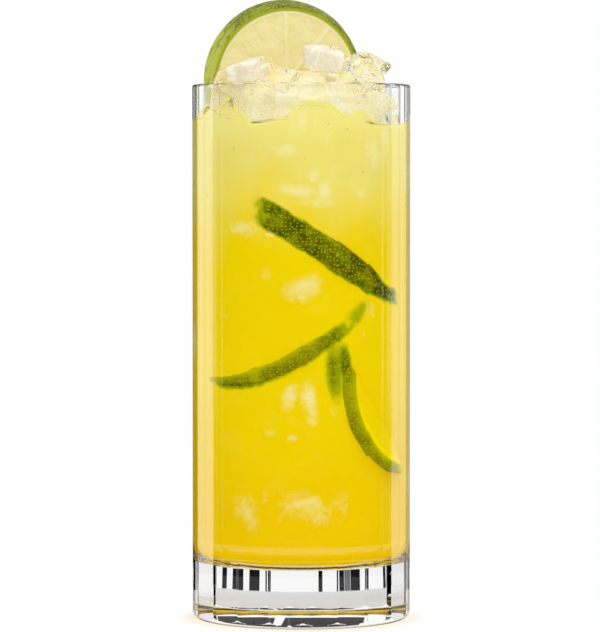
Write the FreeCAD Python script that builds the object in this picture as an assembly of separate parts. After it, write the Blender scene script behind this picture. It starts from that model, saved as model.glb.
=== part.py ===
import FreeCAD, Part
import math
import os
import random

from FreeCAD import Placement, Rotation, Vector

# Gin smash in a tall panelled tumbler, in millimetres, with Z up.
# The origin is the middle of the ring that the tumbler stands on.
# The front is -Y.

# ---------------------------------------------------------------- tumbler
glass_height = 152.0
across_edges = 62.0        # between two opposite panel edges
wall_thickness = 2.6       # at the panel edges, where it is thickest
panel_count = 20           # flat upright panels round the outside
first_edge_bearing = 0.94  # the edge nearest the front, turned towards +X, degrees
panel_edge_round = 1.6     # radius along the upright edges
base_thickness = 16.0      # solid glass under the drink
floor_fillet = 7.0         # inside, between floor and wall
rim_round_outside = 1.0
rim_round_inside = 0.8
foot_round = 2.6           # outside, at the bottom of the panels
punt_depth = 1.2           # hollow in the underside
foot_ring_width = 3.0      # flat ring round that hollow

# ------------------------------------------------------------------ drink
headspace = 10.5           # from the rim down to the liquid

# ------------------------------------------------- wheel of lime, standing
lime_radius = 23.4           # of the whole fruit
slice_offset = 10.3          # from the fruit's middle to the front cut
slice_thickness = 6.0
peel_thickness = 2.2         # green skin and white pith
segment_count = 9
membrane_width = 0.9
heart_radius = 2.0           # white core in the middle
segment_sink = 0.45          # the pulp lies this far below its membranes
segment_corner = 1.0
first_membrane = 52.5        # bearing of one membrane on the front face, degrees
wheel_rise = 0.9             # of its middle above the rim
wheel_clearance = 0.7        # it leans towards -X, this near to the wall
wheel_yaw = 13.0             # the front face turns towards +X
wheel_nod = 5.0              # and looks down a little

# -------------------------------------------------------- crushed ice heap
crown_rise = 9.0             # top of the heap above the rim, in the middle
shoulder_drop = 0.5          # edge of the heap below the rim
pocket_width = 6.1           # left free towards +X, between the heap and the wall
core_sink = 3.4              # the lumps stand out of the core by about this much
lump_length = 12.5
lump_width = 9.5
lump_height = 7.5
lump_unevenness = 0.22       # share by which a lump's sides vary
lump_scatter = 1.2           # up and down, either way
lump_pitch = 12.1            # along a ring of lumps
ring_inset = 5.4             # from the wall to the outermost ring
ring_spacing = 7.75          # between rings
ice_seed = 11

# --------------------------------------------------------------- fitting
seat_gap = 0.05              # what fills the tumbler stays this clear of its seat

bore_radius = across_edges / 2 - wall_thickness
liquid_level = glass_height - headspace

axis_point = Vector(0, 0, 0)
up = Vector(0, 0, 1)
full_turn = 360.0


def arc_edge(start, middle, end):
    return Part.Arc(start, middle, end).toShape()


def line_edge(start, end):
    return Part.LineSegment(start, end).toShape()


def corner_middle(centre, radius, bearing):
    """Point of a round corner, given its bearing in the XZ plane."""
    angle = math.radians(bearing)
    return centre + Vector(radius * math.cos(angle), 0, radius * math.sin(angle))


def revolve(edges):
    face = Part.Face(Part.Wire(edges))
    return face.revolve(axis_point, up, full_turn)


# ---------------------------------------------------------------- tumbler
def panelled_prism():
    """The upright panels, with their edges rounded."""
    step = full_turn / panel_count
    radius = across_edges / 2
    corners = []
    for k in range(panel_count):
        bearing = math.radians(-90 + first_edge_bearing + k * step)
        corners.append(Vector(radius * math.cos(bearing), radius * math.sin(bearing), 0))
    outline = Part.Face(Part.Wire(Part.makePolygon(corners + corners[:1])))
    prism = outline.extrude(Vector(0, 0, glass_height))
    upright = [edge for edge in prism.Edges if edge.BoundBox.ZLength > glass_height / 2]
    return prism.makeFillet(panel_edge_round, upright)


def outer_envelope():
    """Round body that gives the foot and the rim their rounding."""
    radius = across_edges / 2
    foot = Vector(radius - foot_round, 0, foot_round)
    rim = Vector(radius - rim_round_outside, 0, glass_height - rim_round_outside)
    low = Vector(foot.x, 0, 0)
    low_side = Vector(radius, 0, foot.z)
    top_side = Vector(radius, 0, rim.z)
    top = Vector(rim.x, 0, glass_height)
    return revolve([
        line_edge(axis_point, low),
        arc_edge(low, corner_middle(foot, foot_round, -45), low_side),
        line_edge(low_side, top_side),
        arc_edge(top_side, corner_middle(rim, rim_round_outside, 45), top),
        line_edge(top, Vector(0, 0, glass_height)),
        line_edge(Vector(0, 0, glass_height), axis_point),
    ])


def bore(top, inset=0.0):
    """Inside of the tumbler up to a height, drawn in by a clearance."""
    radius = bore_radius - inset
    floor = base_thickness + inset
    fillet = floor_fillet - inset
    corner = Vector(radius - fillet, 0, floor + fillet)
    floor_end = Vector(corner.x, 0, floor)
    wall_start = Vector(radius, 0, corner.z)
    wall_end = Vector(radius, 0, top)
    return revolve([
        line_edge(Vector(0, 0, floor), floor_end),
        arc_edge(floor_end, corner_middle(corner, fillet, -45), wall_start),
        line_edge(wall_start, wall_end),
        line_edge(wall_end, Vector(0, 0, top)),
        line_edge(Vector(0, 0, top), Vector(0, 0, floor)),
    ])


def rim_flare():
    """Ring taken off the inner edge of the rim, which leaves it rounded."""
    radius = bore_radius
    centre = Vector(radius + rim_round_inside, 0, glass_height - rim_round_inside)
    low = Vector(radius, 0, centre.z)
    high = Vector(centre.x, 0, glass_height)
    inner = Vector(radius, 0, glass_height)
    return revolve([
        arc_edge(low, corner_middle(centre, rim_round_inside, 135), high),
        line_edge(high, inner),
        line_edge(inner, low),
    ])


def punt():
    """Shallow domed hollow in the underside, inside the foot ring."""
    reach = across_edges / 2 - foot_round - foot_ring_width
    dome_radius = (reach ** 2 + punt_depth ** 2) / (2 * punt_depth)
    half_angle = math.asin(reach / dome_radius) / 2
    centre_z = punt_depth - dome_radius
    crown = Vector(0, 0, punt_depth)
    edge = Vector(reach, 0, 0)
    middle = Vector(dome_radius * math.sin(half_angle), 0,
                    centre_z + dome_radius * math.cos(half_angle))
    return revolve([
        line_edge(axis_point, edge),
        arc_edge(edge, middle, crown),
        line_edge(crown, axis_point),
    ])


def make_glass():
    body = panelled_prism().common(outer_envelope())
    body = body.cut(bore(glass_height))
    body = body.cut(rim_flare())
    return body.cut(punt())


# ------------------------------------------------------------ lime wheel
def slice_radius(height, radius=lime_radius):
    """Radius of the slice at a height over its own middle."""
    from_fruit_middle = slice_offset - slice_thickness / 2 + height
    return math.sqrt(radius ** 2 - from_fruit_middle ** 2)


def wheel_placement():
    """The wheel stands upright on edge, off the axis as far as the wall lets it."""
    lean = bore_radius - wheel_clearance - slice_radius(-slice_thickness / 2)
    middle = Vector(-max(lean, 0), 0, glass_height + wheel_rise)
    turn = Rotation(up, wheel_yaw) * Rotation(Vector(1, 0, 0), 90 + wheel_nod)
    return Placement(middle, turn)


def lime_slice(grow=0.0):
    """Slice of the round fruit, about its own axis, with the front cut at +Z."""
    front = slice_thickness / 2 + grow

    def on_peel(height):
        return Vector(slice_radius(height, lime_radius + grow), 0, height)

    return revolve([
        line_edge(Vector(0, 0, -front), on_peel(-front)),
        arc_edge(on_peel(-front), on_peel(0), on_peel(front)),
        line_edge(on_peel(front), Vector(0, 0, front)),
        line_edge(Vector(0, 0, front), Vector(0, 0, -front)),
    ])


def segment_pocket(face_radius, bearing):
    """Sunk field of pulp between two membranes, drawn about +X and then turned."""
    half = math.radians(full_turn / segment_count) / 2
    start = heart_radius + membrane_width / (2 * math.sin(half))
    reach = face_radius - peel_thickness
    half_wide = reach * math.sin(half) - membrane_width / (2 * math.cos(half))
    tip = Vector(start, 0, 0)
    left = Vector(math.sqrt(reach ** 2 - half_wide ** 2), half_wide, 0)
    right = Vector(left.x, -half_wide, 0)
    outline = Part.Wire([
        line_edge(tip, right),
        arc_edge(right, Vector(reach, 0, 0), left),
        line_edge(left, tip),
    ])
    depth = 2 * segment_sink
    field = Part.Face(outline).extrude(Vector(0, 0, depth))
    upright = [edge for edge in field.Edges if edge.BoundBox.ZLength > depth / 2]
    field = field.makeFillet(segment_corner, upright)
    field.rotate(axis_point, up, bearing)
    return field


def make_lime_wheel():
    wheel = lime_slice()
    half = slice_thickness / 2
    step = full_turn / segment_count
    for side in (1, -1):
        for k in range(segment_count):
            pocket = segment_pocket(slice_radius(side * half), first_membrane + (k + 0.5) * step)
            pocket.translate(Vector(0, 0, side * half - segment_sink))
            wheel = wheel.cut(pocket)
    wheel.Placement = wheel_placement()
    return wheel


def wheel_seat():
    """Room that the drink and the ice leave for the wheel."""
    seat = lime_slice(seat_gap)
    seat.Placement = wheel_placement()
    return seat


# ----------------------------------------------------------------- drink
def make_drink():
    return bore(liquid_level, seat_gap).cut(wheel_seat())


# ----------------------------------------------------------- crushed ice
def core_height(radius):
    """Height of the heap's core over a radius, as a low dome."""
    fall = (crown_rise + shoulder_drop) * (radius / bore_radius) ** 2
    return glass_height + crown_rise - fall - core_sink


def heap_core():
    edge_radius = bore_radius - seat_gap
    middle_radius = edge_radius / 2
    foot = liquid_level + seat_gap
    crown = Vector(0, 0, core_height(0))
    middle = Vector(middle_radius, 0, core_height(middle_radius))
    shoulder = Vector(edge_radius, 0, core_height(edge_radius))
    return revolve([
        line_edge(Vector(0, 0, foot), Vector(edge_radius, 0, foot)),
        line_edge(Vector(edge_radius, 0, foot), shoulder),
        arc_edge(shoulder, middle, crown),
        line_edge(crown, Vector(0, 0, foot)),
    ])


def ice_lump(chance):
    """Broken lump of ice: two blocks that lie askew, and what they share."""
    lump = None
    for _ in range(2):
        sides = [side * (1 + chance.uniform(-lump_unevenness, lump_unevenness))
                 for side in (lump_length, lump_width, lump_height)]
        block = Part.makeBox(*sides)
        block.translate(Vector(*sides) * -0.5)
        slant = Vector(chance.uniform(-1, 1), chance.uniform(-1, 1), chance.uniform(-1, 1))
        block.rotate(axis_point, slant, chance.uniform(20, 45))
        lump = block if lump is None else lump.common(block)
    return lump


def make_lumps():
    """Lumps in rings from the wall inwards, each at its own height and turn."""
    chance = random.Random(ice_seed)
    lumps = []
    ring_radius = bore_radius - ring_inset
    while ring_radius > 0:
        count = round(2 * math.pi * ring_radius / lump_pitch)
        for k in range(count):
            lump = ice_lump(chance)
            radius = ring_radius * chance.uniform(0.92, 1.0)
            height = core_height(radius) + chance.uniform(-1, 1) * lump_scatter
            lump.rotate(axis_point, up, chance.uniform(0, full_turn))
            lump.translate(Vector(radius, 0, height))
            lump.rotate(axis_point, up, (k + chance.uniform(-0.2, 0.2)) * full_turn / count)
            lumps.append(lump)
        ring_radius -= ring_spacing
    return lumps


def heap_room():
    """Space that the heap may fill: inside the bore, over the liquid, off the pocket."""
    top = glass_height + crown_rise + lump_length
    foot = liquid_level + seat_gap
    beside_pocket = Part.makeBox(2 * bore_radius - pocket_width, 2 * bore_radius, top - foot)
    beside_pocket.translate(Vector(-bore_radius, -bore_radius, foot))
    return bore(top, seat_gap).common(beside_pocket)


def make_crushed_ice():
    heap = heap_core().multiFuse(make_lumps())
    heap = heap.common(heap_room()).cut(wheel_seat())
    return max(heap.Solids, key=lambda solid: solid.Volume)


makers = {
    "glass": make_glass,
    "drink": make_drink,
    "crushed_ice": make_crushed_ice,
    "lime_wheel": make_lime_wheel,
}

os.makedirs("parts", exist_ok=True)
for node, maker in makers.items():
    shape = maker()
    solid = shape if shape.ShapeType == "Solid" else shape.Solids[0]
    solid.exportStep(os.path.join("parts", node + ".step"))
    box = solid.BoundBox
    print(node, solid.isValid(), len(shape.Solids), "solid", len(solid.Faces), "faces",
          "volume %.0f" % solid.Volume, "z %.2f to %.2f" % (box.ZMin, box.ZMax))
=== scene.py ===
import math
import random
from collections import namedtuple

import bpy
from mathutils import Matrix, Vector, noise


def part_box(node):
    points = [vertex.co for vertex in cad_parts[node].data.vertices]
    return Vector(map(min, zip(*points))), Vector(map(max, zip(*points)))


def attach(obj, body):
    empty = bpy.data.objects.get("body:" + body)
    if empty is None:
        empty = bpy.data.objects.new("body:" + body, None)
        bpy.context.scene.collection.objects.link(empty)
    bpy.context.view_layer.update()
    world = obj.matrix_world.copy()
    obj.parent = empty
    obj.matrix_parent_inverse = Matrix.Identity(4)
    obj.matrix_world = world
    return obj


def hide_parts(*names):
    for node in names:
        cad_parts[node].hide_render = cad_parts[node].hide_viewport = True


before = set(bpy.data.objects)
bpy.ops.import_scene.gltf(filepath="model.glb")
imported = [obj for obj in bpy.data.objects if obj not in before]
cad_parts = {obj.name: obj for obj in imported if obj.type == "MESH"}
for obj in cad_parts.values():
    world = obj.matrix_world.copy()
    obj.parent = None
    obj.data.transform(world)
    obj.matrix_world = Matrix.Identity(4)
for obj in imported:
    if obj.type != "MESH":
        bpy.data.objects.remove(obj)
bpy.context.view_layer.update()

bl_info = {
    "name": "Gin smash in a panelled tumbler",
    "version": (1, 0, 0),
    "blender": (4, 5, 0),
    "location": "View3D > Sidebar > Gin smash",
    "description": "Builds the looks of a tall cloudy drink with crushed ice and lime",
    "category": "Add Mesh",
}

MM = 0.001
BORE = 28.4          # radius inside the wall, in millimetres
GLANDS = 930.0       # oil glands of the peel, to a metre
glass_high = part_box("glass")[1]
drink_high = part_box("drink")[1]


# ------------------------------------------------------------ sizes and colours
def length(name, description, default):
    return bpy.props.FloatProperty(name=name, description=description, default=default,
                                   unit="LENGTH", precision=5)


def angle(name, description, degrees):
    return bpy.props.FloatProperty(name=name, description=description,
                                   default=math.radians(degrees), subtype="ANGLE")


def colour(name, description, default):
    return bpy.props.FloatVectorProperty(name=name, description=description,
                                         default=default, size=3, min=0, max=1,
                                         subtype="COLOR")


class TumblerSizes(bpy.types.PropertyGroup):
    across: length("Across", "Between two opposite panel edges", 62 * MM)
    height: length("Height", "From the table to the rim", glass_high.z)
    panels: bpy.props.IntProperty(name="Panels", description="Flat upright panels",
                                  default=20, min=6, max=60)
    first_edge: angle("First edge", "Turn of the edge nearest the front", 0.94)
    edge_round: length("Edge round", "Radius along the upright edges", 1.6 * MM)
    wall: length("Wall", "Thickest wall, at the panel edges", 2.6 * MM)
    floor: length("Base", "Solid glass under the drink", 16 * MM)
    floor_fillet: length("Floor fillet", "Inside, between floor and wall", 7 * MM)
    rim_outside: length("Rim outside", "Rounding of the rim's outer edge", 1.0 * MM)
    rim_inside: length("Rim inside", "Rounding of the rim's inner edge", 0.8 * MM)
    foot_round: length("Foot", "Rounding at the bottom of the panels", 2.6 * MM)
    punt: length("Punt", "Depth of the hollow underneath", 1.2 * MM)
    foot_ring: length("Foot ring", "Width of the flat ring it stands on", 3.0 * MM)


class DrinkLooks(bpy.types.PropertyGroup):
    into_wall: length("Into the wall", "How far the drink reaches into the glass",
                      0.08 * MM)
    cloud: length("Cloud", "Radius at which the drink turns opaque", 26.2 * MM)
    body: colour("Body", "Cloudy drink in its middle", (0.97, 0.72, 0.001))
    deep: colour("Deep", "Cloudy drink near the base", (0.97, 0.64, 0.001))
    pale: colour("Pale", "Cloudy drink under the ice", (0.94, 0.84, 0.24))
    frost: colour("Frost", "Sunk ice behind the drink", (0.98, 0.90, 0.42))
    lit_green: colour("Light green", "Edges of the peel in the cloud", (0.42, 0.46, 0.001))
    green: colour("Green", "Lime peel seen through the cloud", (0.068, 0.084, 0.001))
    gland: colour("Glands", "Oil glands of the sunk peel", (0.44, 0.46, 0.02))
    tint: colour("Tint", "Clear drink next to the wall", (0.93, 0.90, 0.47))


class IceLooks(bpy.types.PropertyGroup):
    seed: bpy.props.IntProperty(name="Seed", description="Turn of the loose lumps",
                                default=7)
    wet: colour("Wet ice", "Heap of ice under the lumps", (0.93, 0.83, 0.46))
    frosted: colour("Frosted ice", "Lumps with a rough skin", (0.79, 0.72, 0.53))


class LimeLooks(bpy.types.PropertyGroup):
    fruit: length("Fruit", "Radius of the whole lime", 23.4 * MM)
    offset: length("Cut", "From the middle of the fruit to the front cut", 10.3 * MM)
    thickness: length("Thickness", "Between the two cuts", 6 * MM)
    segments: bpy.props.IntProperty(name="Segments", description="Fields of pulp",
                                    default=9, min=5, max=14)
    yaw: angle("Yaw", "Turn of the front face", 13)
    nod: angle("Nod", "How far the front face looks down", 5)
    peel: colour("Peel", "Outer green skin", (0.10, 0.135, 0.002))
    peel_pale: colour("Pale peel", "Flecks and lit streaks of the skin",
                      (0.34, 0.38, 0.02))
    peel_lit: colour("Lit peel", "Streaks where the light falls", (0.50, 0.54, 0.07))
    gland: colour("Glands", "Oil glands of the skin", (0.50, 0.47, 0.03))
    flavedo: colour("Flavedo", "Cut edge of the skin", (0.36, 0.40, 0.01))
    pith: colour("Pith", "White layer and membranes", (0.90, 0.84, 0.52))
    pulp: colour("Pulp", "Juice sacs", (0.86, 0.77, 0.33))


class StageLooks(bpy.types.PropertyGroup):
    camera_back: length("Camera distance", "From the axis to the camera", 1.07)
    camera_height: length("Camera height", "Above the table", 0.128)
    camera_pitch: angle("Camera pitch", "How far it looks down", 2.24)
    focal: bpy.props.FloatProperty(name="Focal length", description="In millimetres",
                                   default=214.2)
    floor_radius: length("Floor radius", "Of the pale round floor", 0.34)
    dome: bpy.props.FloatProperty(name="Dome", description="Strength of the soft light",
                                  default=0.86)


# ------------------------------------------------------------ node maths
class Number:
    """A number in a node tree. Python's operators add the Math nodes."""

    def __init__(self, recipe, socket):
        self.recipe = recipe
        self.socket = socket

    def __add__(self, other):
        return self.recipe.maths("ADD", self, other)

    def __sub__(self, other):
        return self.recipe.maths("SUBTRACT", self, other)

    def __mul__(self, other):
        return self.recipe.maths("MULTIPLY", self, other)

    def __radd__(self, other):
        return self + other

    def __rsub__(self, other):
        return self.recipe.maths("SUBTRACT", other, self)

    def __rmul__(self, other):
        return self * other


class Recipe:
    """Node tree of one finish."""

    def __init__(self, tree):
        self.tree = tree
        tree.nodes.clear()

    def node(self, kind, settings=None, sockets=None, out=0):
        """Adds a node, sets it, then its sockets, and gives back one output."""
        made = self.tree.nodes.new("ShaderNode" + kind)
        for key, value in (settings or {}).items():
            setattr(made, key, value)
        for key, value in (sockets or {}).items():
            socket = made.inputs[key]
            if isinstance(value, Number):
                self.tree.links.new(value.socket, socket)
            elif socket.type == "RGBA" and len(value) == 3:
                socket.default_value = (*value, 1)
            else:
                socket.default_value = value
        return Number(self, made.outputs[out])

    def maths(self, operation, first, second=0.5):
        return self.node("Math", {"operation": operation}, {0: first, 1: second})

    def between(self, value, low, high, start=0.0, end=1.0):
        """Smooth step from start to end while the value goes from low to high."""
        return self.node("MapRange", {"interpolation_type": "SMOOTHSTEP", "clamp": True},
                         {"Value": value, "From Min": low, "From Max": high,
                          "To Min": start, "To Max": end})

    def band(self, value, start, full, fade, end):
        """1 from full to fade, and down to 0 at start and end."""
        return self.between(value, start, full) * self.between(value, fade, end, 1.0, 0.0)

    def blend(self, share, first, second):
        """Mixes two colours."""
        return self.node("Mix", {"data_type": "RGBA"}, {0: share, 6: first, 7: second},
                         out=2)

    def parts(self, vector):
        split = self.node("SeparateXYZ", {}, {0: vector}).socket.node
        return [Number(self, socket) for socket in split.outputs]

    def places(self, middle=(0, 0, 0), turn=(0, 0, 0), stretch=(1, 1, 1)):
        """Object coordinates, centred, turned and stretched."""
        whole = self.node("TexCoord", out="Object")
        return self.node("Mapping", {"vector_type": "TEXTURE"},
                         {"Vector": whole, "Location": middle, "Rotation": turn,
                          "Scale": stretch})

    def clouds(self, where, scale, detail=3.0, rough=0.5, warp=0.0):
        return self.node("TexNoise", {}, {"Vector": where, "Scale": scale,
                                          "Detail": detail, "Roughness": rough,
                                          "Distortion": warp})

    def glands(self, where, radius, jitter):
        """Distance to the nearest oil gland, on a skin unrolled from its axis."""
        x, y, z = self.parts(where)
        along = self.maths("ARCTAN2", y, x) * radius
        flat = self.node("CombineXYZ", {}, {0: along, 1: z, 2: 0.0})
        return self.node("TexVoronoi", {"voronoi_dimensions": "2D"},
                         {"Vector": flat, "Scale": GLANDS, "Randomness": jitter})

    def share(self, name):
        """How much of something the mesh's own attribute gives a point."""
        return self.node("Attribute", {"attribute_name": name}, out="Fac")

    def ray(self, kind):
        return self.node("LightPath", out=kind)

    def shaders(self, share, first, second):
        return self.node("MixShader", {}, {0: share, 1: first, 2: second})

    def bump(self, height, distance, strength=1.0):
        return self.node("Bump", {}, {"Height": height, "Distance": distance,
                                      "Strength": strength})

    def surface(self, sockets):
        return self.node("BsdfPrincipled", {}, sockets)

    def finish(self, shader, volume=None, kind="Material"):
        out = self.tree.nodes.new("ShaderNodeOutput" + kind)
        self.tree.links.new(shader.socket, out.inputs["Surface"])
        if volume:
            self.tree.links.new(volume.socket, out.inputs["Volume"])

    def let_lamps_through(self, shader):
        """Light for what is behind the glass passes straight; the eye sees it bent."""
        clear = self.node("BsdfTransparent")
        soft = self.shaders(self.ray("Is Diffuse Ray"), shader, clear)
        return self.shaders(self.ray("Is Shadow Ray"), soft, clear)


def new_finish(name):
    material = bpy.data.materials.new(name)
    material.use_nodes = True
    return material, Recipe(material.node_tree)


# ------------------------------------------------------------ modelling by hand
def select_only(*pieces):
    if bpy.context.object and bpy.context.object.mode != "OBJECT":
        bpy.ops.object.mode_set(mode="OBJECT")
    bpy.ops.object.select_all(action="DESELECT")
    for piece in pieces:
        piece.select_set(True)
    if pieces:
        bpy.context.view_layer.objects.active = pieces[0]


def turned(name, outline, steps):
    """Spins an outline of (radius, height) points about the upright axis."""
    select_only()
    bpy.ops.mesh.primitive_plane_add(size=MM, location=(0, 0, 0))
    piece = bpy.context.object
    piece.name = name
    bpy.ops.object.mode_set(mode="EDIT")
    bpy.ops.mesh.select_mode(type="VERT")
    bpy.ops.mesh.select_all(action="SELECT")
    bpy.ops.mesh.merge(type="CENTER")
    bpy.ops.mesh.select_all(action="SELECT")
    bpy.ops.transform.translate(value=(outline[0][0], 0, outline[0][1]))
    for here, there in zip(outline, outline[1:]):
        step = (there[0] - here[0], 0, there[1] - here[1])
        bpy.ops.mesh.extrude_vertices_move(TRANSFORM_OT_translate={"value": step})
    bpy.ops.mesh.select_all(action="SELECT")
    bpy.ops.mesh.spin(steps=steps, angle=2 * math.pi, center=(0, 0, 0), axis=(0, 0, 1))
    bpy.ops.mesh.select_all(action="SELECT")
    bpy.ops.mesh.remove_doubles(threshold=1e-6)
    bpy.ops.mesh.normals_make_consistent(inside=False)
    bpy.ops.object.mode_set(mode="OBJECT")
    return piece


def arc(middle, radius, start, end, count):
    """Points of an arc in the outline plane, bearings in degrees."""
    points = []
    for k in range(count + 1):
        bearing = math.radians(start + (end - start) * k / count)
        points.append((middle[0] + radius * math.cos(bearing),
                       middle[1] + radius * math.sin(bearing)))
    return points


def straight(start, end, count):
    """Points of a straight run, without its first one."""
    return [(start[0] + (end[0] - start[0]) * k / count,
             start[1] + (end[1] - start[1]) * k / count) for k in range(1, count + 1)]


def boolean(piece, tool, operation):
    select_only(piece)
    change = piece.modifiers.new("shape", "BOOLEAN")
    change.operation = operation
    change.object = tool
    change.solver = "EXACT"
    bpy.ops.object.modifier_apply(modifier=change.name)
    bpy.data.objects.remove(tool)


def smooth(piece, degrees=180):
    select_only(piece)
    bpy.ops.object.shade_smooth_by_angle(angle=math.radians(degrees), keep_sharp_edges=False)


def weigh_normals(piece):
    """Keeps flat faces flat next to rounded edges."""
    select_only(piece)
    change = piece.modifiers.new("normals", "WEIGHTED_NORMAL")
    change.keep_sharp = True
    change.weight = 80
    bpy.ops.object.modifier_apply(modifier=change.name)


def move_points(piece, place):
    """Moves each point of a mesh to place(point)."""
    for vertex in piece.data.vertices:
        vertex.co = place(vertex.co)
    piece.data.update()


def joined(name, pieces):
    select_only(*pieces)
    if len(pieces) > 1:
        bpy.ops.object.join()
    whole = bpy.context.object
    bpy.ops.object.transform_apply(location=True, rotation=True, scale=True)
    whole.name = name
    return whole


def keep(piece, material, slot, *nodes):
    """Gives a finished piece its material, and its place in the model."""
    piece.data.materials.clear()
    piece.data.materials.append(material)
    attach(piece, "root")
    if nodes:
        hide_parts(*nodes)


def spread(piece, name, values):
    """Gives each point of a mesh its share of something, for its material to read."""
    piece.data.attributes.new(name, "FLOAT", "POINT").data.foreach_set("value", values)


def bearing_of(point):
    """Angle about the upright axis from the front, in radians."""
    return math.atan2(point.x, -point.y)


def ease(value, low, high):
    """Smooth step from 0 to 1 while the value goes from low to high."""
    share = min(max((value - low) / (high - low), 0.0), 1.0)
    return share * share * (3 - 2 * share)


# ------------------------------------------------------------ tumbler
def bore_outline(sizes, into_wall, top):
    """Inside of the tumbler from the floor's middle up to a height."""
    radius = sizes.across / 2 - sizes.wall + into_wall
    floor = sizes.floor - into_wall
    fillet = sizes.floor_fillet
    corner = (radius - fillet, floor + fillet)
    points = [(0, floor)] + straight((0, floor), (corner[0], floor), 4)
    points += arc(corner, fillet, -90, 0, 14)[1:]
    return points + straight((radius, corner[1]), (radius, top), 6)


def tumbler_finish():
    material, mix = new_finish("clear glass")
    glass = mix.surface({"Base Color": (0.985, 0.99, 0.985), "Roughness": 0.0, "IOR": 1.5,
                         "Transmission Weight": 1.0})
    mix.finish(mix.let_lamps_through(glass))
    return material


class SMASH_OT_tumbler(bpy.types.Operator):
    """Tumbler with flat panels, rounded rim and foot, and a thick base"""
    bl_idname = "smash.tumbler"
    bl_label = "Tumbler"

    def execute(self, context):
        sizes = context.scene.smash_tumbler
        radius = sizes.across / 2
        select_only()
        bpy.ops.mesh.primitive_cylinder_add(
            vertices=sizes.panels, radius=radius, depth=sizes.height,
            location=(0, 0, sizes.height / 2), rotation=(0, 0, sizes.first_edge))
        glass = context.object
        bpy.ops.object.transform_apply(location=True, rotation=True)
        bpy.ops.object.mode_set(mode="EDIT")
        bpy.ops.mesh.select_all(action="DESELECT")
        bpy.ops.object.mode_set(mode="OBJECT")
        points = glass.data.vertices
        for edge in glass.data.edges:
            low, high = (points[k].co.z for k in edge.vertices)
            edge.select = abs(high - low) > sizes.height / 2
        bpy.ops.object.mode_set(mode="EDIT")
        bpy.ops.mesh.select_mode(type="EDGE")
        corner = math.tan(math.pi / sizes.panels)
        bpy.ops.mesh.bevel(offset=sizes.edge_round * corner, segments=4, affect="EDGES")
        bpy.ops.object.mode_set(mode="OBJECT")
        foot = (radius - sizes.foot_round, sizes.foot_round)
        rim = (radius - sizes.rim_outside, sizes.height - sizes.rim_outside)
        outline = [(0, 0)] + arc(foot, sizes.foot_round, -90, 0, 10)
        outline += arc(rim, sizes.rim_outside, 0, 90, 6) + [(0, sizes.height)]
        boolean(glass, turned("envelope", outline, 240), "INTERSECT")
        lip = (radius - sizes.wall + sizes.rim_inside, sizes.height - sizes.rim_inside)
        inside = bore_outline(sizes, 0, sizes.height - sizes.rim_inside)
        inside += arc(lip, sizes.rim_inside, 180, 90, 6)[1:]
        inside += [(lip[0], sizes.height + MM), (0, sizes.height + MM)]
        boolean(glass, turned("bore", inside, 240), "DIFFERENCE")
        reach = radius - sizes.foot_round - sizes.foot_ring
        dome = (reach ** 2 + sizes.punt ** 2) / (2 * sizes.punt)
        half = math.degrees(math.asin(reach / dome))
        hollow = [(0, -MM), (reach, -MM)]
        hollow += arc((0, sizes.punt - dome), dome, 90 - half, 90, 8)
        boolean(glass, turned("punt", hollow, 120), "DIFFERENCE")
        smooth(glass, 28)
        weigh_normals(glass)
        glass.name = "tumbler"
        keep(glass, tumbler_finish(), "glass", "glass")
        return {"FINISHED"}


# ------------------------------------------------------------ drink
def drink_finish(looks):
    material, mix = new_finish("clear drink")
    wet = mix.surface({"Base Color": (1, 1, 1), "Roughness": 0.0, "IOR": 1.34,
                       "Transmission Weight": 1.0})
    tint = mix.node("VolumeAbsorption", {}, {"Color": looks.tint, "Density": 40.0})
    mix.finish(mix.let_lamps_through(wet), tint)
    return material


# height of the drink's edge over its level, in millimetres, by bearing from the front
edge_heights = [
    (-100, 0.6), (-80, 1.2), (-62, 4.8), (-56, 3.7), (-49, 4.6), (-44, 6.0), (-38, 2.4),
    (-31, -0.6), (-10, 0.8), (-3, 3.8), (2, 5.4), (14, 5.0), (26, 1.4), (34, 3.0),
    (46, -1.0), (62, -1.2), (80, -0.4), (110, 2.5), (150, 1.0), (190, 3.5), (230, 1.0),
]


def level_at(point, level):
    """Height of the drink's edge towards a point, between lumps of ice."""
    bearing = (math.degrees(bearing_of(point)) + 100) % 360 - 100
    stops = edge_heights + [(260, edge_heights[0][1])]
    for (start, low), (end, high) in zip(stops, stops[1:]):
        if start <= bearing <= end:
            return level + (low + (high - low) * ease(bearing, start, end)) * MM
    return level


class SMASH_OT_drink(bpy.types.Operator):
    """Clear drink next to the wall, up to its uneven level"""
    bl_idname = "smash.drink"
    bl_label = "Clear drink"

    def execute(self, context):
        looks = context.scene.smash_drink
        sizes = context.scene.smash_tumbler
        level = drink_high.z
        outline = bore_outline(sizes, looks.into_wall, level)
        wall = outline[-1][0]
        outline += straight((wall, level), (wall - 6 * MM, level), 8)
        outline += straight((wall - 6 * MM, level), (0, level), 6)
        drink = turned("drink_edge", outline, 240)

        def rise(point):
            if point.z < level - MM:
                return point
            radius = math.hypot(point.x, point.y)
            near = ease(radius, wall - 6 * MM, wall)
            height = level_at(point, level)
            return Vector((point.x, point.y, level + (height - level) * near))

        move_points(drink, rise)
        smooth(drink, 50)
        keep(drink, drink_finish(looks), "drink", "drink")
        return {"FINISHED"}


def sunk_skin(mix, looks):
    """Peel in the drink: dark green, blotchy, with a pale gland every millimetre."""
    glands = mix.glands(mix.places(), 26.5 * MM, 0.75)
    dots = mix.between(glands, 0.10, 0.32, 1.0, 0.0)
    blotch = mix.clouds(mix.places(), 150, 3.0, 0.6, 0.3)
    skin = mix.blend(mix.between(blotch, 0.42, 0.68) * 0.5, looks.green,
                     looks.lit_green)
    return mix.blend(dots * 0.72, skin, looks.gland), glands


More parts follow.
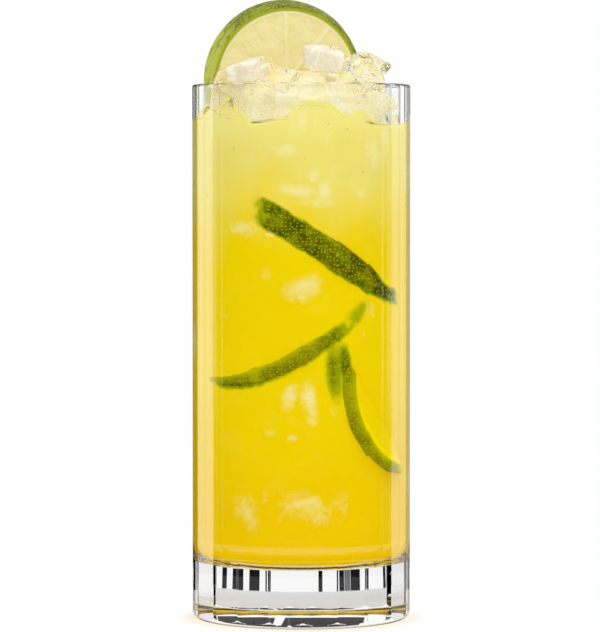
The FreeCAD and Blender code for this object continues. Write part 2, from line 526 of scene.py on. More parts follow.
def cloud_finish(looks):
    material, mix = new_finish("cloudy drink")
    z = mix.parts(mix.places())[2]
    haze = mix.clouds(mix.places(stretch=(1, 1, 1.4)), 38, 2.0, 0.5, 0.2)
    tall = mix.blend(mix.between(z, 0.02, 0.07), looks.deep, looks.body)
    high = mix.between(z + haze * 0.05, 0.128, 0.172)
    tall = mix.blend(high, tall, looks.pale)
    frost = mix.share("sunk ice")
    grain = mix.clouds(mix.places(turn=(0.3, 0.2, 0.1)), 420, 4.0, 0.62, 0.5)
    drift = mix.clouds(mix.places(), 150, 2.0, 0.5, 0.6)
    smoke = frost + (grain - 0.5) * 1.1 + (drift - 0.5) * 1.0
    frost = mix.between(smoke, 0.15, 1.25) * mix.between(frost, 0.0, 0.35)
    faint = mix.between(drift, 0.52, 0.75) * (0.02 + high * 0.30)
    shade = mix.blend(mix.maths("MAXIMUM", frost, faint), tall, looks.frost)
    green = mix.share("sunk green")
    green = mix.between(green + (drift - 0.5) * 0.5 + (grain - 0.5) * 0.3, 0.08, 0.95)
    lit = mix.blend(mix.between(green, 0.0, 0.5), shade, looks.lit_green)
    skin = sunk_skin(mix, looks)[0]
    shade = mix.blend(mix.between(green, 0.4, 0.95), lit, skin)
    mix.finish(mix.surface({"Base Color": shade, "Roughness": 0.9,
                            "Specular IOR Level": 0.0}))
    return material


# A sunk wheel's middle, facing, radius and thickness, in millimetres; how far from its
# middle it is cut off straight, and towards which side; the reach at which it sinks out
# of sight; how cloudy the drink over it is; and from which bearing to which it thins
# out, in degrees, and by how much.
SunkWheel = namedtuple("SunkWheel", "middle facing radius thickness cut sinks over thins")
sunk_wheels = [
    SunkWheel((1.9, -2.3, 104.6), (0.537, 0.136, 0.832), 25.0, 7.6,
              None, (20.9, 24.4), 0.0, (32, 68, 0.52)),
    SunkWheel((-5.7, -5.7, 81.8), (-0.472, -0.373, 0.799), 23.0, 4.6,
              None, (20.6, 25.4), 0.2, (-22, -62, 0.5)),
    SunkWheel((23.6, -4.8, 64.4), (0.844, -0.504, 0.189), 23.0, 5.4,
              (13.5, (-0.346, -0.776, -0.525)), (20.0, 21.0), 0.26, (60, 75, 0.4)),
]


def rim_reach(point, wheel):
    """How far out the skin of a flat-lying wheel is, on the way from the axis to a point."""
    middle, facing = Vector(wheel.middle) * MM, Vector(wheel.facing)
    away = point - middle
    level = middle.z - (facing.x * away.x + facing.y * away.y) / facing.z
    out = Vector((point.x, point.y, 0)).normalized()
    start = Vector((0, 0, level)) - middle
    ahead = start.dot(out)
    inside = ahead * ahead - start.length_squared + (wheel.radius * MM) ** 2
    return -ahead + math.sqrt(inside) if inside > 0 else 0.0


def slimness(point, thins):
    """Share of a wheel's thickness that it has towards a point."""
    start, end, lost = thins
    return 1 - lost * ease(math.degrees(bearing_of(point)), start, end)


# peel that shows only as a green smear: as the pale patches below
green_smears = [
    (19.3, 71.6, 2.1, 7.2, 4, 0.66), (26.2, 73.6, 1.9, 5.2, 8, 0.86),
    (34.0, 87.6, 5.2, 2.6, 42, 0.46),
]


def green_at(point):
    """How green the cloud is where a wheel lies a little behind its skin, 0 to 1."""
    green = patch_at(point, green_smears)
    for wheel in sunk_wheels:
        if wheel.cut:
            continue
        away = point - Vector(wheel.middle) * MM
        offset = abs(away.dot(Vector(wheel.facing).normalized())) / MM
        ragged = noise.noise(point * 260) + 0.6 * noise.noise(point * 700)
        reach = rim_reach(point, wheel) / MM + ragged
        half = wheel.thickness / 2 * slimness(point, wheel.thins)
        half += 0.22 * max(25.5 - reach, 0)
        near = 1 - ease(offset + ragged * 0.4, half - 1.3, half + 0.9)
        near *= ease(reach, *wheel.sinks)
        bearing = bearing_of(point)
        near *= 1 - ease(bearing + ragged * 0.06, 1.06, 1.36)
        near *= 1 - ease(ragged * 0.06 - bearing, 0.86, 1.26)
        near *= 0.64 + 0.36 * ease(reach + ragged, 23.2, 26.0)
        green = max(green, near * (1 - wheel.over * 1.3))
    return green


# sunk ice that shows as pale patches: bearing from the front in degrees, height,
# half width, half height in millimetres, slant in degrees, strength
pale_patches = [
    (-10, 132.9, 3.6, 1.7, -8, 1.0), (1, 137.9, 1.2, 2.6, 0, 0.8), (8, 137.9, 1.0, 2.2, 0, 0.7),
    (7, 126.0, 1.6, 1.9, 0, 1.0), (-2, 122.1, 5.0, 1.6, -6, 1.0), (14, 121.8, 2.2, 2.5, 0, 1.0),
    (11, 118.5, 4.8, 1.4, 0, 0.7), (46, 133.0, 2.4, 5.4, 10, 0.9), (57, 138.0, 2.0, 7.0, 0, 0.9),
    (37, 120.4, 2.6, 1.6, 0, 0.5), (-34, 111.3, 4.6, 2.4, -8, 0.7), (-18, 109.8, 1.0, 0.8, 0, 0.9),
    (1, 94.7, 5.2, 3.0, 18, 0.74), (-24, 98.6, 3.2, 1.6, 0, 0.45), (44, 88.4, 2.0, 2.8, 0, 0.5),
    (-52, 86.6, 2.0, 1.2, 0, 0.4), (-7, 65.0, 1.9, 3.6, -24, 0.95), (5, 63.3, 1.8, 4.6, 6, 0.95),
    (7, 58.0, 1.6, 1.6, 0, 0.5), (-6, 53.0, 1.9, 1.0, 10, 0.8), (-19, 54.7, 1.6, 1.0, 0, 0.4),
    (-34, 31.7, 3.4, 5.0, 10, 0.5), (-21, 36.2, 1.2, 2.1, 0, 0.4), (2, 33.4, 7.0, 4.6, -6, 0.56),
    (25, 33.4, 2.0, 5.2, 0, 0.45), (19, 60.5, 1.6, 1.3, 0, 0.4), (39, 81.6, 0.8, 1.0, 0, 0.5),
    (95, 126, 6, 5, 10, 0.8), (120, 92, 5, 8, -10, 0.8), (150, 132, 7, 4, 0, 0.9),
    (165, 60, 6, 5, 15, 0.7), (195, 104, 5, 7, -20, 0.9), (225, 40, 6, 5, 0, 0.7),
    (235, 128, 6, 6, 12, 0.9), (262, 78, 5, 6, -15, 0.8), (100, 40, 6, 5, 0, 0.7),
]


def patch_at(point, patches):
    """How much the strongest patch shows at a point of the cloud's skin, 0 to 1."""
    bearing = math.degrees(bearing_of(point))
    radius = 26.0
    shown = 0.0
    for place, height, wide, tall, slant, strength in patches:
        turned_by = (bearing - place + 180) % 360 - 180
        across = math.radians(turned_by) * radius
        upward = point.z / MM - height
        lean = math.radians(slant)
        along = across * math.cos(lean) + upward * math.sin(lean)
        beside = upward * math.cos(lean) - across * math.sin(lean)
        far = math.hypot(along / wide, beside / tall)
        shown = max(shown, strength * (1 - ease(far, 0.2, 1.9)))
    return shown


def frost_at(point):
    """How much sunk ice shows at a point of the cloud's skin, 0 to 1."""
    return patch_at(point, pale_patches)


class SMASH_OT_cloud(bpy.types.Operator):
    """Opaque body of the drink, with the ice that is sunk in it"""
    bl_idname = "smash.cloud"
    bl_label = "Cloudy drink"

    def execute(self, context):
        looks = context.scene.smash_drink
        sizes = context.scene.smash_tumbler
        level = drink_high.z
        low = sizes.floor + 0.25 * MM
        fillet = sizes.floor_fillet - 1.0 * MM
        radius = looks.cloud
        corner = (radius - fillet, low + fillet)
        outline = [(0, low)] + straight((0, low), (corner[0], low), 8)
        outline += arc(corner, fillet, -90, 0, 14)[1:]
        outline += straight((radius, corner[1]), (radius, level), 150)
        outline += straight((radius, level), (0, level), 14)
        cloud = turned("cloud", outline, 260)

        def swell(point):
            flat = Vector((point.x, point.y, 0))
            if flat.length < 1e-6:
                return point
            side = flat.normalized()
            seat = ease(flat.length, radius * 0.7, radius) * ease(point.z, low, low + 12 * MM)
            lift = noise.noise(point * 55) * 0.7 + noise.noise(point * 140) * 0.3
            reach = flat.length + lift * MM * seat
            return side * reach + Vector((0, 0, point.z))

        for name, amount in (("sunk ice", frost_at), ("sunk green", green_at)):
            spread(cloud, name, [amount(vertex.co) for vertex in cloud.data.vertices])

        def under_edge(point):
            if point.z < level - 12 * MM:
                return point
            rise = ease(point.z, level - 12 * MM, level)
            rise *= ease(math.hypot(point.x, point.y), radius - 5 * MM, radius)
            height = level_at(point, level) - 0.6 * MM
            return Vector((point.x, point.y, point.z + (height - level) * rise))

        move_points(cloud, swell)
        move_points(cloud, under_edge)
        smooth(cloud)
        keep(cloud, cloud_finish(looks), "drink")
        return {"FINISHED"}


def bubble_finish():
    material, mix = new_finish("air bubble")
    air = mix.node("BsdfGlass", {}, {"Color": (1, 1, 1), "Roughness": 0.0, "IOR": 0.75})
    mix.finish(mix.let_lamps_through(air))
    return material


# air bubbles at the wall: bearing from the front in degrees, height and radius in
# millimetres
bubbles = [
    (14.7, 104.3, 0.60), (-28.0, 70.7, 0.42), (-13.9, 70.4, 0.36), (14.7, 140.6, 0.62),
    (16.8, 139.2, 0.40), (25.6, 139.0, 0.45), (20.5, 138.0, 0.30), (-80.0, 83.0, 0.40),
    (-79.0, 74.5, 0.34), (-40.0, 133.6, 0.30), (2.0, 131.0, 0.28), (36.0, 127.0, 0.34),
    (80.0, 118.0, 0.40), (81.0, 96.0, 0.32), (-63.0, 120.5, 0.30), (60.0, 60.0, 0.28),
    (120.0, 110.0, 0.45), (165.0, 88.0, 0.40), (200.0, 134.0, 0.50), (240.0, 62.0, 0.36),
]


class SMASH_OT_bubbles(bpy.types.Operator):
    """Air bubbles that cling to the inside of the wall"""
    bl_idname = "smash.bubbles"
    bl_label = "Bubbles"

    def execute(self, context):
        sizes = context.scene.smash_tumbler
        reach = sizes.across / 2 - sizes.wall - 0.62 * MM
        beads = []
        for bearing, height, radius in bubbles:
            turn = math.radians(bearing)
            place = (reach * math.sin(turn), -reach * math.cos(turn), height * MM)
            select_only()
            bpy.ops.mesh.primitive_uv_sphere_add(segments=20, ring_count=12,
                                                 radius=radius * MM, location=place)
            beads.append(context.object)
        piece = joined("bubbles", beads)
        smooth(piece)
        keep(piece, bubble_finish(), "drink")
        return {"FINISHED"}


# ------------------------------------------------------------ lime
def peel_colour(mix, looks, here, radius):
    """Green skin with darker blotches and a pale oil gland every millimetre."""
    glands = mix.glands(here, radius, 0.8)
    dots = mix.between(glands, 0.12, 0.34, 1.0, 0.0)
    blotch = mix.clouds(here, 130, 2.0, 0.5, 0.3)
    skin = mix.blend(mix.between(blotch, 0.4, 0.7) * 0.45, looks.peel,
                     looks.peel_pale)
    return mix.blend(dots * 0.6, skin, looks.gland), glands


def sunk_finish(drink, wheel, number):
    material, mix = new_finish("sunk lime " + str(number))
    half, radius = wheel.thickness / 2, wheel.radius
    turn = Vector(wheel.facing).to_track_quat("Z", "Y").to_euler()
    x, y, z = mix.parts(mix.places(tuple(Vector(wheel.middle) * MM), tuple(turn)))
    out = mix.maths("SQRT", x * x + y * y)
    side = mix.maths("ABSOLUTE", z)
    skin, glands = sunk_skin(mix, drink)
    across, ahead = mix.parts(mix.places())[:2]
    bearing = mix.maths("ARCTAN2", across, ahead * -1)
    start, end, lost = wheel.thins
    slim = mix.between(bearing, math.radians(start), math.radians(end)) * lost
    side = side + slim * (half * MM)
    edge = mix.between(side, (half - 0.9) * MM, (half + 0.05) * MM)
    cloudy = mix.clouds(mix.places(), 190, 3.0, 0.6)
    seen = mix.between(out, (radius - 2.6) * MM, (radius - 1.7) * MM)
    veil = wheel.over + mix.between(cloudy, 0.42, 0.72) * 0.2
    lit = mix.blend(edge * 0.5 + veil, skin, drink.lit_green)
    seen = seen * mix.band(bearing, -1.22, -0.92, 1.08, 1.34)
    shade = mix.blend(seen * (1 - veil * 0.5), drink.body, lit)
    bump = mix.bump(mix.between(glands, 0.05, 0.4), 0.00012, 0.6)
    mix.finish(mix.surface({"Base Color": shade, "Roughness": 0.6,
                            "Specular IOR Level": 0.0, "Normal": bump}))
    return material


class SMASH_OT_sunk_lime(bpy.types.Operator):
    """Three wheels of lime sunk in the drink, whose skins show at the wall"""
    bl_idname = "smash.sunk_lime"
    bl_label = "Sunk lime wheels"

    def execute(self, context):
        for number, wheel in enumerate(sunk_wheels, 1):
            middle = Vector(wheel.middle) * MM
            radius, half = wheel.radius, wheel.thickness / 2
            waist = radius - half * half / (2 * radius) - 0.5
            outline = [(0, -half), (waist * 0.6, -half), (waist - 0.5, -half)]
            outline += arc((radius - half * 1.3, 0), half * 1.3, -50, 50, 12)
            outline += [(waist - 0.5, half), (waist * 0.6, half), (0, half)]
            outline = [(a * MM, b * MM) for a, b in outline]
            piece = turned("sunk_lime_" + str(number), outline, 160)

            def dent(point):
                lift = noise.noise(point * 120 + Vector((number * 3, 0, 0))) * 0.35
                flat = Vector((point.x, point.y, 0))
                bend = noise.noise(point * 40) * 0.5 * flat.length / (radius * MM)
                return point * (1 + lift * MM / (radius * MM)) + Vector((0, 0, bend * MM))

            move_points(piece, dent)
            turn = Vector(wheel.facing).to_track_quat("Z", "Y").to_matrix().to_4x4()
            piece.data.transform(Matrix.Translation(middle) @ turn)
            facing = Vector(wheel.facing).normalized()

            def slimmed(point):
                offset = (point - middle).dot(facing)
                return point - facing * offset * (1 - slimness(point, wheel.thins))

            move_points(piece, slimmed)
            if wheel.cut:
                away, side = wheel.cut[0], Vector(wheel.cut[1])
                bpy.ops.object.mode_set(mode="EDIT")
                bpy.ops.mesh.select_all(action="SELECT")
                bpy.ops.mesh.bisect(plane_co=(Vector(wheel.middle) + side * away) * MM,
                                    plane_no=side, use_fill=True, clear_inner=True)
                bpy.ops.object.mode_set(mode="OBJECT")
            smooth(piece, 70)
            finish = sunk_finish(context.scene.smash_drink, wheel, number)
            keep(piece, finish, "lime")
        return {"FINISHED"}


def wheel_frame(lime):
    """Place of the standing wheel: its middle, and its front face turned forward."""
    back = math.sqrt(lime.fruit ** 2 - (lime.offset - lime.thickness) ** 2)
    height = glass_high.z + 0.9 * MM
    sideways = -(BORE * MM - 0.7 * MM - back)
    turn = Matrix.Rotation(lime.yaw, 4, "Z") @ Matrix.Rotation(math.pi / 2 + lime.nod, 4, "X")
    return Matrix.Translation((sideways, 0, height)) @ turn


def garnish_finish(lime):
    material, mix = new_finish("lime wheel")
    here = wheel_frame(lime)
    where = mix.places(tuple(here.translation), tuple(here.to_euler()))
    x, y = mix.parts(where)[:2]
    skin, glands = peel_colour(mix, lime, where, lime.fruit)
    streaks = mix.clouds(mix.places(turn=(0.2, 0.3, 0), stretch=(1, 1, 3)), 480, 3.0, 0.6, 0.5)
    lit = mix.between(x + y * 0.25, -0.021, -0.006, 1.0, 0.25)
    streaks = mix.between(streaks + lit * 0.17, 0.48, 0.64) * lit
    skin = mix.blend(streaks, skin, lime.peel_lit)
    sacs = mix.clouds(where, 260, 3.0, 0.6)
    flesh = mix.blend(mix.between(sacs, 0.35, 0.7), lime.pulp, (0.89, 0.81, 0.45))
    flesh = mix.blend(mix.share("skin of sac") * 0.3, flesh, (0.90, 0.82, 0.46))
    flesh = mix.blend(mix.share("membrane") * 0.55, flesh, lime.pith)
    flesh = mix.blend(mix.share("pith") * 0.7, flesh, lime.pith)
    flesh = mix.blend(mix.share("flavedo"), flesh, lime.flavedo)
    shade = mix.blend(mix.share("peel"), flesh, skin)
    rough = 0.32 + mix.share("peel") * 0.08
    bump = mix.bump(mix.between(glands, 0.05, 0.4) * mix.share("peel"), 0.0002, 0.7)
    mix.finish(mix.surface({"Base Color": shade, "Roughness": rough, "Normal": bump,
                            "Specular IOR Level": 0.12,
                            "Subsurface Weight": 0.25, "Subsurface Scale": 0.004,
                            "Subsurface Radius": (1.0, 0.8, 0.3)}))
    return material


class SMASH_OT_lime(bpy.types.Operator):
    """Wheel of lime that stands on edge in the ice"""
    bl_idname = "smash.lime"
    bl_label = "Lime wheel"

    def execute(self, context):
        lime = context.scene.smash_lime
        half = lime.thickness / 2

        def skin_reach(height):
            return math.sqrt(lime.fruit ** 2 - (lime.offset - half + height) ** 2)

        front, back = skin_reach(half), skin_reach(-half)
        outline = [(0, -half)] + straight((0, -half), (back - 0.4 * MM, -half), 60)
        rows = 16
        for k in range(rows + 1):
            height = -half + 0.25 * MM + (2 * half - 0.5 * MM) * k / rows
            outline.append((skin_reach(height), height))
        outline += [(front - 0.35 * MM, half)]
        outline += straight((front - 0.35 * MM, half), (0, half), 84)
        wheel = turned("lime_slice", outline, 288)
        shares = {name: [] for name in
                  ("peel", "flavedo", "pith", "membrane", "skin of sac")}
        step = 2 * math.pi / lime.segments
        first = math.radians(52.5)
        heart = 1.6 * MM

        for vertex in wheel.data.vertices:
            point = vertex.co.copy()
            out = math.hypot(point.x, point.y)
            skin = skin_reach(max(min(point.z, half), -half))
            on_cut = abs(point.z) > half - 0.1 * MM
            rim = skin - out
            bearing = math.atan2(point.y, point.x)
            wobble = 0.05 * noise.noise(point * 160)
            turns = (bearing - first + wobble) / step
            nearest = abs(turns - round(turns)) * step * out
            wall = 0.30 * MM + 0.35 * MM * ease(out, 6 * MM, 1.001 * MM)
            plain = 0.15 if round(turns) % lime.segments > 1 else 0.9
            membrane = (1 - ease(nearest, wall, wall + 0.45 * MM)) * plain
            membrane = max(membrane, 1 - ease(out, heart, heart + 1.2 * MM))
            pith = 1 - ease(rim, 1.3 * MM, 2.3 * MM)
            flavedo = 1 - ease(rim, 0.75 * MM, 1.25 * MM)
            grain = Vector((math.cos(bearing), math.sin(bearing), 0)) * 9
            grain += Vector((0, 0, out / MM * 0.22))
            near, far = noise.voronoi(grain * 1.5)[0][:2]
            sac = 1 - ease(far - near, 0.02, 0.28)
            shares["peel"].append(0.0 if on_cut else 1.0)
            shares["flavedo"].append(flavedo)
            shares["pith"].append(pith)
            shares["membrane"].append(membrane)
            shares["skin of sac"].append(sac)
            if on_cut:
                solid = max(membrane, pith)
                sink = (1 - solid) * (0.36 + 0.14 * sac)
                swell = (1 - solid) * 0.25 * noise.noise(point * 300)
                vertex.co.z -= math.copysign((sink - swell) * MM, point.z)
            else:
                dimple = noise.noise(point * 500) * 0.05 + noise.noise(point * 130) * 0.12
                vertex.co *= 1 + dimple * MM / skin
        for name, values in shares.items():
            spread(wheel, name, values)
        wheel.data.update()
        wheel.data.transform(wheel_frame(lime))
        smooth(wheel, 60)
        keep(wheel, garnish_finish(lime), "lime", "lime_wheel")
        return {"FINISHED"}


# ------------------------------------------------------------ ice
def broken_lump(chance, sides, cuts=7, worn=0.45, least=0.60):
    """Block of ice with its corners broken off and its edges melted round."""
    select_only()
    bpy.ops.mesh.primitive_cube_add(size=1, location=(0, 0, 0), scale=sides)
    lump = bpy.context.object
    bpy.ops.object.transform_apply(scale=True)
    bpy.ops.object.mode_set(mode="EDIT")
    for _ in range(cuts):
        facing = Vector([chance.gauss(0, 1) for _ in range(3)]).normalized()
        reach = sum(abs(a) * b / 2 for a, b in zip(facing, sides))
        bpy.ops.mesh.select_all(action="SELECT")
        bpy.ops.mesh.bisect(plane_co=facing * reach * chance.uniform(least, 0.85),
                            plane_no=facing, use_fill=True, clear_outer=True)
    bpy.ops.mesh.select_all(action="SELECT")
    bpy.ops.mesh.bevel(offset=worn * MM, segments=2, affect="EDGES")
    bpy.ops.mesh.select_all(action="SELECT")
    bpy.ops.mesh.quads_convert_to_tris()
    bpy.ops.mesh.subdivide(number_cuts=2)
    bpy.ops.mesh.vertices_smooth(factor=0.5, repeat=3)
    bpy.ops.object.mode_set(mode="OBJECT")
    shift = Vector([chance.uniform(0, 9) for _ in range(3)])

    def melt(point):
        return point * (1 + 0.10 * noise.noise(point * 260 + shift)
                        + 0.03 * noise.noise(point * 700 + shift))

    move_points(lump, melt)
    return lump


def laid(pattern, place, turn, size):
    """Copy of a lump, with its own mesh, laid in its place."""
    lump = pattern.copy()
    lump.data = pattern.data.copy()
    bpy.context.scene.collection.objects.link(lump)
    lump.matrix_world = Matrix.LocRotScale(Vector(place) * MM, turn, Vector((size,) * 3))
    return lump


def frosted_finish(looks):
    material, mix = new_finish("frosted ice")
    where = mix.places()
    veins = mix.clouds(where, 200, 4.0, 0.65, 1.2)
    shade = mix.blend(mix.between(veins, 0.40, 0.62), looks.frosted, (0.93, 0.88, 0.74))
    bump = mix.bump(mix.clouds(where, 700, 3.0, 0.6), 0.0002, 0.5)
    mix.finish(mix.surface({"Base Color": shade, "Roughness": 0.28, "IOR": 1.31,
                            "Normal": bump, "Subsurface Weight": 0.5,
                            "Subsurface Scale": 0.003, "Subsurface Radius": (1, 0.95, 0.8)}))
    return material


def clear_finish():
    material, mix = new_finish("clear ice")
    where = mix.places()
    ripple = mix.clouds(where, 330, 3.0, 0.55, 0.6)
    wet = mix.surface({"Base Color": (1, 0.965, 0.83), "Roughness": 0.03, "IOR": 1.31,
                       "Transmission Weight": 1.0, "Normal": mix.bump(ripple, 0.0004, 0.5)})
    snow = mix.surface({"Base Color": (0.93, 0.87, 0.64), "Roughness": 0.4})
    crazed = mix.between(mix.clouds(mix.places(stretch=(1, 1.6, 1)), 210, 4.0, 0.65, 1.2),
                         0.54, 0.66, 0.06, 0.75)
    mix.finish(mix.let_lamps_through(mix.shaders(crazed, wet, snow)))
    return material


def heap_finish(looks):
    material, mix = new_finish("wet ice")
    where = mix.places()
    veins = mix.clouds(where, 150, 4.0, 0.6, 0.6)
    shade = mix.blend(mix.between(veins, 0.35, 0.7), looks.wet, (0.95, 0.89, 0.66))
    mix.finish(mix.surface({"Base Color": shade, "Roughness": 0.4,
                            "Subsurface Weight": 0.5, "Subsurface Scale": 0.003,
                            "Subsurface Radius": (1, 0.9, 0.6),
                            "Normal": mix.bump(veins, 0.001, 0.7)}))
    return material


# lumps that show most: kind, place in millimetres, sides, turn in degrees
shown_lumps = [
    ("frosted", (5.0, -15.5, 158.9), (13.6, 7.0, 7.6), (4, 5, 6)),
    ("clear", (-19.5, -13.5, 152.2), (8.0, 7.0, 6.6), (12, 20, 30)),
    ("clear", (-6.6, -20.0, 153.0), (9.5, 8.0, 6.8), (-14, 18, -20)),
    ("frosted", (-15.6, -17.0, 154.6), (11.5, 7.5, 7.0), (14, -12, -20)),
    ("clear", (18.6, -13.0, 153.6), (9.0, 8.5, 8.8), (20, 12, 15)),
    ("clear", (16.0, -8.0, 157.6), (7.5, 6.5, 6.0), (30, -24, 40)),
    ("clear", (19.5, -2.0, 156.0), (8.5, 8.0, 7.5), (-10, 32, 10)),
    ("clear", (13.2, -19.0, 149.5), (9.0, 8.5, 8.0), (0, 45, 10)),
    ("clear", (3.0, -22.5, 150.5), (11.5, 7.5, 7.5), (14, -8, 10)),
    ("clear", (-12.0, -22.0, 147.5), (11.0, 8.0, 8.0), (10, 20, -15)),
    ("clear", (-19.0, -17.0, 147.0), (9.0, 8.0, 8.0), (24, -18, 30)),
    ("clear", (20.5, -13.5, 146.5), (8.0, 8.0, 9.0), (18, 25, -30)),
    ("clear", (10.0, -4.5, 159.6), (6.5, 6.0, 5.0), (18, 35, 20)),
    ("clear", (-18.0, -5.5, 155.0), (7.0, 6.5, 6.0), (28, 15, 60)),
]


def heap_places(chance):
    """Places for loose lumps, in uneven rings and layers, in millimetres."""
    for ring in (23.2, 16.5, 9.5, 2.5):
        count = max(round(2 * math.pi * ring / 8.6), 1)
        for layer in (146.0, 152.5, 158.0):
            if layer > 160.5 - 9.5 * (ring / BORE) ** 2:
                continue
            for k in range(count):
                bearing = (k + chance.uniform(-0.25, 0.25)) * 2 * math.pi / count
                yield Vector((ring * math.cos(bearing), ring * math.sin(bearing),
                              layer + chance.uniform(-1.2, 1.2)))


class SMASH_OT_ice(bpy.types.Operator):
    """Heap of crushed ice: a wet core with frosted and clear lumps on it"""
    bl_idname = "smash.ice"
    bl_label = "Crushed ice"

    def execute(self, context):
        looks = context.scene.smash_ice
        chance = random.Random(looks.seed)
        patterns = [broken_lump(chance, (chance.uniform(8, 12) * MM,
                                         chance.uniform(7, 9.5) * MM,
                                         chance.uniform(6, 8) * MM)) for _ in range(10)]
        lumps = {"frosted": [], "clear": []}
        for kind, place, sides, turn in shown_lumps:
            soft = kind == "frosted"
            lump = broken_lump(chance, tuple(side * MM for side in sides),
                               11 if soft else 7, 0.9 if soft else 0.45, 0.52)
            twist = Matrix.Rotation(math.radians(turn[2]), 4, "Z")
            twist @= Matrix.Rotation(math.radians(turn[1]), 4, "Y")
            twist @= Matrix.Rotation(math.radians(turn[0]), 4, "X")
            lump.matrix_world = Matrix.Translation(Vector(place) * MM) @ twist
            lumps[kind].append(lump)
        wheel = wheel_frame(context.scene.smash_lime).inverted()
        taken = [Vector(place) for kind, place, sides, turn in shown_lumps]
        for place in heap_places(chance):
            across = wheel @ (place * MM)
            beside = abs(across.z) > 7.2 * MM or across.to_2d().length > 27 * MM
            free = all((place - other).length > 6.5 for other in taken)
            if not (beside and free and place.x < 20.5):
                continue
            turn = Vector([chance.gauss(0, 1) for _ in range(3)]).normalized()
            turn = turn.rotation_difference(Vector((0, 0, 1)))
            kind = "frosted" if chance.random() < 0.3 else "clear"
            lumps[kind].append(laid(chance.choice(patterns), place, turn,
                                    chance.uniform(0.8, 1.0)))
            taken.append(place)
        for pattern in patterns:
            bpy.data.objects.remove(pattern)
        finishes = {"frosted": frosted_finish(looks), "clear": clear_finish()}
        for kind, group in lumps.items():
            piece = joined(kind + "_ice", group)
            smooth(piece, 60)
            keep(piece, finishes[kind], "ice", "crushed_ice")
        foot, shoulder = drink_high.z - 0.5 * MM, 148.5 * MM
        outline = [(0, foot)] + straight((0, foot), (24.6 * MM, foot), 24)
        outline += straight((24.6 * MM, foot), (23.8 * MM, shoulder), 10)
        outline += arc((0, 116 * MM), 40.2 * MM, 53.8, 90, 40)[1:]
        core = turned("ice_core", outline, 160)

        def rough(point):
            if point.z < foot + 0.1 * MM:
                return point
            chunk = noise.voronoi(point * 165)[0][0]
            lift = 1.9 * (0.45 - chunk) + noise.noise(point * 330) * 0.5
            flat = Vector((point.x, point.y, 0.4 * (point.z - 0.13)))
            way = flat.normalized() if flat.length > 0 else Vector((0, 0, 1))
            return point + way * lift * MM

        move_points(core, rough)
        smooth(core)
        keep(core, heap_finish(looks), "ice", "crushed_ice")
        return {"FINISHED"}


# ------------------------------------------------------------ stage
def world_light(looks):
    world = bpy.data.worlds.new("studio")
    bpy.context.scene.world = world
    world.use_nodes = True
    mix = Recipe(world.node_tree)
    x, y, z = mix.parts(mix.node("TexCoord", out="Generated"))
    turn = mix.maths("ABSOLUTE", mix.maths("ARCTAN2", x, y)) * (180 / math.pi)
    rise = mix.maths("ARCSINE", z) * (180 / math.pi)
    quarter = mix.maths("PINGPONG", turn, 45.0)
    windows = mix.between(quarter, 9.4, 9.8, 1.0, 0.0)
    for start, end in ((17, 20), (29, 33), (38, 42)):
        window = mix.band(quarter, start - 0.4, start, end, end + 0.4)
        windows = mix.maths("MAXIMUM", windows, window)
    flags = 1 - windows
    low = mix.band(rise, -12, -10, -4, -3)
    ahead = mix.between(turn, 66, 76) * mix.band(rise, -12, -10, 0.2, 0.6)
    bent = 1 - mix.maths("MAXIMUM", flags * low, ahead) * 0.985
    bent = bent * mix.between(turn, 42, 48, 1.0, 0.81)
    boxes = mix.band(turn, 44, 47, 61, 64)
    back = mix.between(turn, 12, 16, 1.0, 0.0)
    high = mix.between(rise, 8, 30)
    streak = mix.band(turn, 64, 67, 73, 76)
    boxes = boxes * mix.between(x, -0.1, 0.1, 1.65, 1.15) + streak * 4.0
    mirrored = mix.maths("MAXIMUM", back * 0.9 + boxes, high * 0.6)
    camera = mix.ray("Is Camera Ray")
    through = mix.ray("Is Transmission Ray")
    glossy = mix.ray("Is Glossy Ray") * (1 - through)
    plain = 1 - camera - glossy - through
    strength = camera + through * bent + glossy * mirrored + plain * looks.dome
    light = mix.node("Background", {}, {"Color": (1, 1, 1), "Strength": strength})
    mix.finish(light, kind="World")


def floor_finish():
    """Pale floor. Bent rays see it dark under the foot, a painted shadow, and grey beyond it,
    painted shade; after many bounces in the glass they see it glow white, a painted light rim; and
    nothing of it far behind.
    """
    material, mix = new_finish("pale floor")
    x, y = mix.parts(mix.places())[:2]
    reach = mix.maths("SQRT", x * x + y * y)
    far = mix.between(reach, 0.0305, 0.0362)
    matt = mix.node("BsdfDiffuse", {}, {"Color": (0.96, 0.96, 0.96)})
    glow = mix.node("Emission", {}, {"Color": (1, 1, 1), "Strength": 1.0})
    shown = mix.shaders(far * mix.ray("Is Camera Ray"), matt, glow)
    # painted shade: bent rays see the floor greyer and bluer than it is
    painted_shade = mix.node("BsdfDiffuse", {}, {"Color": (0.82, 0.82, 0.88)})
    # painted shadow: bent rays see the floor under the foot nearly black
    under = mix.node("BsdfDiffuse", {}, {"Color": (0.02, 0.02, 0.02)})
    behind = mix.shaders(mix.between(reach, 0.0300, 0.0305), under, painted_shade)
    # painted light: rays that bounced long inside the glass see the floor glow white, a light rim
    # in the glass
    painted_rim_light = mix.between(mix.ray("Ray Depth"), 6.5, 9.5)
    behind = mix.shaders(painted_rim_light, behind, glow)
    bent = mix.maths("MAXIMUM", mix.ray("Is Transmission Ray"), mix.ray("Is Glossy Ray"))
    shown = mix.shaders(bent, shown, behind)
    beyond = bent * mix.between(reach, 0.083, 0.087)
    mix.finish(mix.shaders(beyond, shown, mix.node("BsdfTransparent")))
    return material


def softbox(name, place, aim, width, height, power):
    lamp = bpy.data.lights.new(name, "AREA")
    lamp.shape = "RECTANGLE"
    lamp.size = width
    lamp.size_y = height
    lamp.energy = power
    box = bpy.data.objects.new(name, lamp)
    bpy.context.scene.collection.objects.link(box)
    box.location = place
    box.rotation_euler = (Vector(aim) - Vector(place)).to_track_quat("-Z", "Y").to_euler()
    box.visible_camera = False


